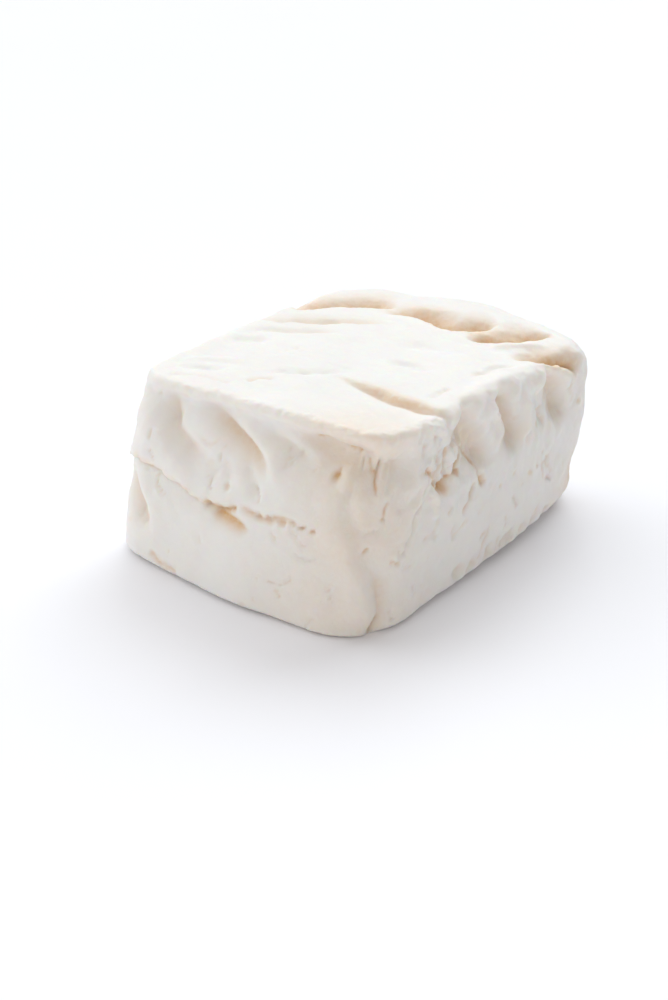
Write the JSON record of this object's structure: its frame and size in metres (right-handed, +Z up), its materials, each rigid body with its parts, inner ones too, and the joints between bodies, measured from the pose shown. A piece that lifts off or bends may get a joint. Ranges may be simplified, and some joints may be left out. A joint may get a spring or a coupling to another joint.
{
  "type": "block of soft fresh cheese",
  "caption": "Rectangular block of soft fresh white cheese, unwrapped, with rounded edges, wrapper folds and a flat foot.",
  "frame": {"origin": "on the resting surface, under the middle of the block", "axes": "+Z up, Y along the block's long side, X across it; the corner with the deepest folds points to +X -Y"},
  "size_m": [0.0722, 0.0938, 0.0431],
  "materials": {
    "cheese": "satin"
  },
  "bodies": {
    "root": {"cheese_block": "cheese"}
  },
  "joints": []
}
